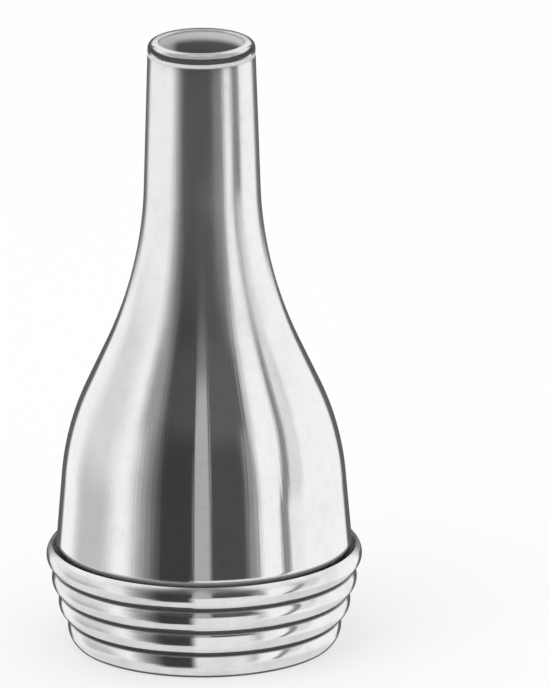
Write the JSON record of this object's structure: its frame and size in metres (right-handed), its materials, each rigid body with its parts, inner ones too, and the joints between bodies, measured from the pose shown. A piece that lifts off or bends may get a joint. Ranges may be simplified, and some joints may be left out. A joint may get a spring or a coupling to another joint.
{
  "type": "ear speculum",
  "caption": "Polished metal ear speculum: a bell-shaped funnel narrowing to a round-lipped tip, its wide end soldered into a beaded grip collar.",
  "frame": {"origin": "centre of the flat base, on the axis", "axes": "+Z along the axis from the wide end to the tip; every piece is a turned form about it, so X and Y are alike"},
  "size_m": [0.0188, 0.0188, 0.037],
  "materials": {
    "polished_plate": "mirror-polished plate over a drawn shell, with faint lengthwise polishing marks",
    "turned_plate": "bright plate over turned beads, with fine turning marks and dull grooves",
    "solder": "dull grey silver solder"
  },
  "bodies": {
    "root": {"funnel_shell": "polished_plate", "grip_collar": "turned_plate", "solder_ring": "solder"}
  },
  "joints": []
}
